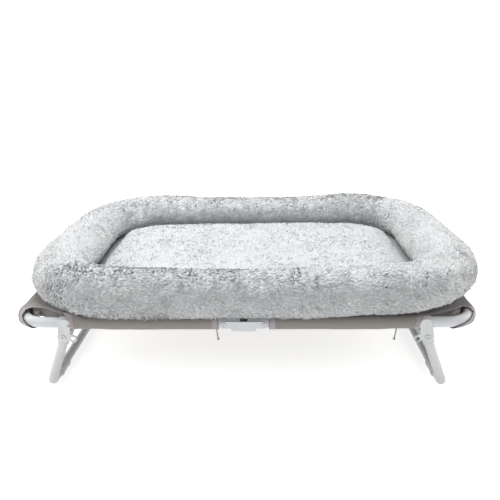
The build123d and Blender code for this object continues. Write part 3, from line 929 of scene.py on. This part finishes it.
def stuff(piece, restZ):
    # blows the cover up as cloth round its filling: the foot stays where it rests
    cover = evenMesh(piece, restZ)
    start = readOut(cover.data.vertices, "co", 3)
    moved = blowUp(cover) - start
    moved = evenOut(moved, readOut(cover.data.edges, "vertices", 2, int))
    reach = np.linalg.norm(moved, axis=1)
    moved *= np.minimum(1, stuffing["cap"] / np.maximum(reach, 1e-9))[:, None]
    cover.data.vertices.foreach_set("co", (start + moved).ravel())
    cover.modifiers.clear()
    cover.vertex_groups.clear()
    bpy.context.scene.frame_set(1)
    finer = cover.modifiers.new("finer", "SUBSURF")
    finer.levels = 1
    smooth = evaluatedMesh(cover)
    bpy.data.objects.remove(cover)
    smooth.name = piece.name
    material = piece.data.materials[0]
    piece.data = smooth
    paint(piece, material)
    smooth.polygons.foreach_set("use_smooth", np.ones(len(smooth.polygons), bool))
    print("stage: stuffed", piece.name, "mean move", round(float(reach.mean()), 5))


grid = bolsterGrid()
rows, columns = grid.shape[:2]
bolster = makeMesh("bolster", grid.reshape(-1, 3), gridFaces(rows, columns, True, True))
highest = max(bolster.data.polygons, key=lambda face: face.center.z)
if highest.normal.z < 0:
    bolster.data.flip_normals()
paint(bolster, finish["plushGround"])
stuff(bolster, bed["bottom"])
print("stage: bolster made")

padShape = {
    "halfX": 0.2514, "halfY": 0.1539, "corner": 0.0735, "edge": 0.0195, "crown": 0.027,
    "rings": 39, "around": 240,
    # share of the way out and of the height, from the middle of the foot round the edge
    "foot": [(0.0, 0.0), (0.5, 0.0), (0.93, 0.0), (0.965, 0.15), (0.985, 0.45), (0.985, 0.75), (0.965, 0.93)],
}


def padGrid():
    outline, _ = roundedPath(padShape["halfX"], padShape["halfY"], padShape["corner"], padShape["around"])
    bottom = bed["bottom"] + 0.0004
    profile = padShape["foot"] + [(share, 1.0) for share in np.linspace(0.93, 0.0004, padShape["rings"])]
    points = []
    for share, level in profile:
        for x, y, _, _ in outline:
            px, py = x * share, y * share
            dome = (1 - (px / padShape["halfX"]) ** 4) * (1 - (py / padShape["halfY"]) ** 4)
            crown = padShape["edge"] + (padShape["crown"] - padShape["edge"]) * dome
            dimple = 0.0016 * wander(px, py, 0, 0.09, 4.4) + 0.0008 * wander(px, py, 0, 0.03, 1.4)
            points.append((px, py, bottom + level * (crown + dimple - 0.0032)))
    return points, gridFaces(len(profile), len(outline), False, True)


pad = makeMesh("restingPad", *padGrid())
paint(pad, finish["plushGround"])
stuff(pad, bed["bottom"])

pile = {
    "strands": 130000, "padStrands": 36000, "length": 0.0044, "width": 0.0011, "rooted": 0.0008,
    "tuft": 0.0034,  # from one tuft to the next
    "gather": 0.5,  # how far a tuft's tips draw together
    "lean": 1.5, "scatter": 0.20, "droop": 0.2, "padShare": 0.6, "seed": 11,
    "swirlSize": 0.045, "rippleSize": 0.013,  # of the patches in which the nap turns
}


def surfaceOf(mesh, lowest):
    # the faces that the pile grows on: those whose normals reach up to the lowest height or above it
    mesh.calc_loop_triangles()
    corners = readOut(mesh.loop_triangles, "vertices", 3, int)
    places, normals = readOut(mesh.vertices, "co", 3), readOut(mesh.vertices, "normal", 3)
    a, b, c = (places[corners[:, i]] for i in range(3))
    area = np.linalg.norm(np.cross(b - a, c - a), axis=1) / 2
    area = area * np.where(normals[corners].mean(1)[:, 2] < lowest, 0.0, 1.0)
    return corners, places, normals, area


def scatterOn(surface, count, dice):
    corners, places, normals, area = surface
    chosen = dice.choice(len(area), size=count, p=area / area.sum())
    one, two = dice.random(count), dice.random(count)
    over = one + two > 1
    one[over], two[over] = 1 - one[over], 1 - two[over]
    share = np.stack([1 - one - two, one, two], 1)[:, :, None]
    root = (places[corners[chosen]] * share).sum(1)
    normal = (normals[corners[chosen]] * share).sum(1)
    return root, normal / np.linalg.norm(normal, axis=1)[:, None]


def unit(vectors):
    return vectors / np.maximum(np.linalg.norm(vectors, axis=1)[:, None], 1e-9)


def growTufts(surface, flow, long, dice):
    # each tuft has a tip that its strands lean to
    count = int(surface[3].sum() / pile["tuft"] ** 2)
    root, normal = scatterOn(surface, count, dice)
    lay = flow(root)
    lay = unit(lay - normal * (lay * normal).sum(1)[:, None])
    sideways = np.cross(normal, lay)
    swirl = np.array([wander(*p, pile["swirlSize"], 2.2) for p in root])
    ripple = np.array([wander(*p, pile["rippleSize"], 6.1) for p in root])
    yaw = 1.2 * swirl + 0.6 * ripple + pile["scatter"] * dice.normal(size=count)
    heading = lay * np.cos(yaw)[:, None] + sideways * np.sin(yaw)[:, None]
    leanBy = pile["lean"] * (1 + 0.8 * ripple + 0.25 * dice.normal(size=count))
    way = unit(normal * 0.8 + heading * leanBy[:, None])
    length = long * pile["length"] * (0.85 + 0.3 * dice.random(count) + 0.15 * swirl)
    tip = root + way * length[:, None]
    tip[:, 2] -= pile["droop"] * length * 0.5
    tone = 0.10 * dice.normal(size=count) + 0.22 * ripple
    return {"root": root, "way": way, "length": length, "tip": tip, "tone": tone}


def nearestTufts(tuftRoot, root):
    tree = kdtree.KDTree(len(tuftRoot))
    for k, place in enumerate(tuftRoot):
        tree.insert(place, k)
    tree.balance()
    return np.array([tree.find(p)[1] for p in root])


def strandMesh(name, points, tone, soft):
    # five points a strand: a quad at its root and a triangle at its tip
    count = len(points) // 5
    made = bpy.data.meshes.new(name)
    made.vertices.add(len(points))
    made.vertices.foreach_set("co", points.ravel())
    loops = (np.arange(count)[:, None] * 5 + np.array([0, 1, 3, 2, 2, 3, 4])).ravel()
    made.loops.add(len(loops))
    made.loops.foreach_set("vertex_index", loops)
    starts = (np.arange(count)[:, None] * 7 + np.array([0, 4])).ravel()
    made.polygons.add(len(starts))
    made.polygons.foreach_set("loop_start", starts)
    made.polygons.foreach_set("use_smooth", np.ones(len(starts), bool))
    made.update(calc_edges=True)
    layer = made.attributes.new("strand", "FLOAT", "POINT")
    layer.data.foreach_set("value", tone.astype(np.float32))
    made.normals_split_custom_set_from_vertices([tuple(n) for n in soft])
    return newObject(name, made)


def growPile(name, mesh, count, seed, flow, lowest, long=1.0):
    dice = np.random.default_rng(seed)
    surface = surfaceOf(mesh, lowest)
    tufts = growTufts(surface, flow, long, dice)
    root, normal = scatterOn(surface, count, dice)
    mine = nearestTufts(tufts["root"], root)
    fromTuft = root - tufts["root"][mine]
    apart = np.linalg.norm(fromTuft, axis=1) / pile["tuft"]
    own = root + tufts["way"][mine] * (tufts["length"][mine] * (1 - 0.35 * np.minimum(apart, 1)))[:, None]
    own += dice.normal(size=(count, 3)) * pile["scatter"] * 0.0012
    tip = own + (tufts["tip"][mine] - own) * pile["gather"]
    start = root - normal * pile["rooted"]
    middle = start + (tip - start) * 0.5 + normal * (long * pile["length"] * 0.13)
    across = unit(np.cross(tip - start, normal + 0.35 * dice.normal(size=(count, 3))))
    across *= pile["width"] * (0.7 + 0.6 * dice.random(count))[:, None]
    points = [start - across / 2, start + across / 2, middle - across * 0.42, middle + across * 0.42, tip]
    # painted shade: strands are darker away from their tuft's middle, in the gaps between tufts, and darker
    # towards their roots
    tone = tufts["tone"][mine] + 0.08 * dice.normal(size=count) - 0.22 * np.minimum(apart, 1.2)
    tone = tone[:, None] + np.array([-0.1, -0.1, 0.5, 0.5, 1.0])
    # the light falls on the pile as on the tufts' round forms, not on each flat strand
    soft = unit(normal + 0.75 * unit(own - root) + 0.5 * unit(fromTuft) * np.minimum(apart, 1)[:, None])
    return strandMesh(name, np.stack(points, 1).reshape(-1, 3), tone.ravel(), np.repeat(soft, 5, axis=0))


def ringFlow(root):
    away = np.stack([root[:, 0] / bed["halfX"] ** 2, root[:, 1] / bed["halfY"] ** 2, np.zeros(len(root))], 1)
    away /= np.maximum(np.linalg.norm(away, axis=1)[:, None], 1e-6)
    around = np.stack([-away[:, 1], away[:, 0], np.zeros(len(root))], 1)
    # the nap parts at the front left turn and meets again at the back right one
    way = np.clip(4 * (root[:, 0] / bed["halfX"] - root[:, 1] / bed["halfY"]), -1, 1)[:, None]
    return around * 0.9 * way + np.array([0, 0, -0.45])


def padFlow(root):
    return np.tile(np.array([[0.9, 0.3, 0.0]]), (len(root), 1))


bolsterPile = growPile("bolsterPile", bolster.data, pile["strands"], pile["seed"], ringFlow, -0.93)
padPile = growPile("padPile", pad.data, pile["padStrands"], pile["seed"] + 1, padFlow, 0.2, pile["padShare"])
for piece in (bolsterPile, padPile):
    paint(piece, finish["plush"])
print("stage: pile grown", len(bolsterPile.data.polygons) + len(padPile.data.polygons), "faces")

for piece in (bolster, pad, bolsterPile, padPile):
    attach(piece, "bed")
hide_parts("bolster_cover", "bolster_filling")
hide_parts("pad_cover", "pad_foam")


# base cloth
def makeBaseCloth():
    shape = {"halfX": 0.308, "halfY": 0.2105, "corner": 0.130, "z": 0.1123, "pucker": 0.0003,
             "thickness": 0.0006}
    sx, sy = shape["halfX"] - shape["corner"], shape["halfY"] - shape["corner"]
    outline = []
    for degrees, x, y in ((-90, sx, -sy), (0, sx, sy), (90, -sx, sy), (180, -sx, -sy)):
        first = math.radians(degrees)
        outline += arcPoints(x, y, shape["corner"], first, first + math.pi / 2, 22)
    points = []
    shares = [0.0004] + list(np.linspace(0.1, 0.97, 12)) + [0.988, 1.0]
    for share in shares:
        for x, y in outline:
            pucker = shape["pucker"] * wander(x * share, y * share, 0, 0.02, 3.3)
            points.append((x * share, y * share, shape["z"] + pucker * share))
    piece = makeMesh("baseCloth", points, gridFaces(len(shares), len(outline), False, True))
    applyModifier(piece, "SOLIDIFY", thickness=shape["thickness"], offset=0)
    paint(piece, finish["base_cloth"])
    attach(piece, "bed")
    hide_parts("bed_base_cloth")


makeBaseCloth()
print("stage: base cloth laid")


# drawcord tails
cordShape = {
    "diameter": 0.0018, "y": -0.2023, "top": 0.1043, "run": 0.011, "sway": 0.0009,
    "knotStrand": 0.00075, "knotSize": 0.00042, "knotDrop": 0.002, "knotSteps": 90, "knotSides": 8,
}


def makeCord(name, points):
    curve = bpy.data.curves.new(name, "CURVE")
    curve.dimensions = "3D"
    line = curve.splines.new("NURBS")
    line.points.add(len(points) - 1)
    for place, point in zip(line.points, points):
        place.co = (*point, 1)
    line.order_u = 3
    line.use_endpoint_u = True
    curve.bevel_depth = cordShape["diameter"] / 2
    curve.bevel_resolution = 4
    curve.resolution_u = 16
    return newObject(name, curve)


def makeKnot(name, end, before):
    # an overhand knot: a trefoil on the cord's end
    steps, sides = cordShape["knotSteps"], cordShape["knotSides"]
    way = (end - before).normalized()
    turn = way.to_track_quat("Z", "Y")
    ring, points = [], []
    for k in range(steps):
        t = 2 * math.pi * k / steps
        loop = Vector((math.sin(t) + 2 * math.sin(2 * t), math.cos(t) - 2 * math.cos(2 * t),
                       -1.3 * math.sin(3 * t)))
        ring.append(end + way * cordShape["knotDrop"] + turn @ (loop * cordShape["knotSize"]))
    for k, here in enumerate(ring):
        tangent = (ring[(k + 1) % steps] - ring[k - 1]).normalized()
        one = tangent.cross(Vector((0.3, 1, 0.2))).normalized()
        two = tangent.cross(one)
        for m in range(sides):
            angle = 2 * math.pi * m / sides
            around = one * math.cos(angle) + two * math.sin(angle)
            points.append(here + around * cordShape["knotStrand"])
    return makeMesh(name, points, gridFaces(steps, sides, True, True))


def makeTail(hand, x, lean):
    y, top, run, sway = (cordShape[key] for key in ("y", "top", "run", "sway"))
    points = [(x + lean * sway * way, y, top - run * k) for k, way in enumerate((0, 0, -1, 1))]
    tail = makeCord(f"{hand}Tail", points)
    knot = makeKnot(f"{hand}TailKnot", Vector(points[-1]), Vector(points[-2]))
    for piece in (tail, knot):
        paint(piece, finish["drawcord"])
        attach(piece, f"{hand}_half")
    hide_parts(f"{hand}_drawcord_tail")
    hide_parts(f"{hand}_drawcord_knot")


makeTail("left", -0.0485, 1)
makeTail("right", 0.1985, -1)
print("stage: tails hung")


# stage and light
studio = {
    "floorSize": 14.0, "floorCount": 15, "floorZ": -0.0002,
    "skyStrength": 0.53, "keyPower": 5.0, "topPower": 25.0, "sidePower": 6.5, "lowPower": 2.0,
    "paper": (0.74, 0.74, 0.74), "paperSeen": (0.95, 0.95, 0.95),
    "tableGlow": 0.30,  # the light table under the bed
    "floorGlow": 0.62,  # seen from the camera only, so that the paper reads white outside the shadow
}


def seenDirectly(tree):
    seen = add(tree, "ShaderNodeLightPath").outputs
    both = reckon(tree, "MAXIMUM", seen["Is Camera Ray"], seen["Is Glossy Ray"])
    return reckon(tree, "MAXIMUM", both, seen["Is Transmission Ray"])


def makeFloor():
    count = studio["floorCount"]
    steps = np.linspace(-studio["floorSize"] / 2, studio["floorSize"] / 2, count)
    points = [(x, y, studio["floorZ"]) for y in steps for x in steps]
    floor = makeMesh("studioFloor", points, gridFaces(count, count))
    material, tree, shader = newMaterial("floorPaper", (0.8, 0.8, 0.8), 0.9)
    seen = seenDirectly(tree)
    shader.inputs["Emission Color"].default_value = (1, 1, 1, 1)
    wire(shader, Base_Color=ramp(tree, seen, (0.0, studio["paper"]), (1.0, studio["paperSeen"])),
         Emission_Strength=levels(tree, seen, studio["tableGlow"], studio["floorGlow"]))
    paint(floor, material)


def makeLight(name, place, size, power, target=(0, 0, 0.1)):
    data = bpy.data.lights.new(name, "AREA")
    data.shape, data.size, data.energy = "DISK", size, power
    lamp = newObject(name, data)
    lamp.location = place
    lamp.rotation_euler = (Vector(target) - Vector(place)).to_track_quat("-Z", "Y").to_euler()


def makeSky():
    world = bpy.data.worlds.new("studioSky")
    bpy.context.scene.world = world
    world.use_nodes = True
    tree = world.node_tree
    background = tree.nodes["Background"]
    background.inputs["Color"].default_value = (1, 1, 1, 1)
    wire(background, Strength=levels(tree, seenDirectly(tree), studio["skyStrength"], 1.0))


makeFloor()
makeSky()
makeLight("topSoftbox", (-0.15, 0.35, 1.5), 1.4, studio["topPower"])
makeLight("keySoftbox", (-1.0, -1.1, 1.3), 1.0, studio["keyPower"])
for name, x in (("leftSoftbox", -1.7), ("rightSoftbox", 1.7)):
    makeLight(name, (x, 0.10, 0.8), 1.0, studio["sidePower"], (0, 0, 0.05))
makeLight("lowSoftbox", (0.0, -1.6, 0.16), 1.0, studio["lowPower"], (0, 0, 0.03))
bpy.context.scene.view_settings.view_transform = "Standard"
print("stage: light set")
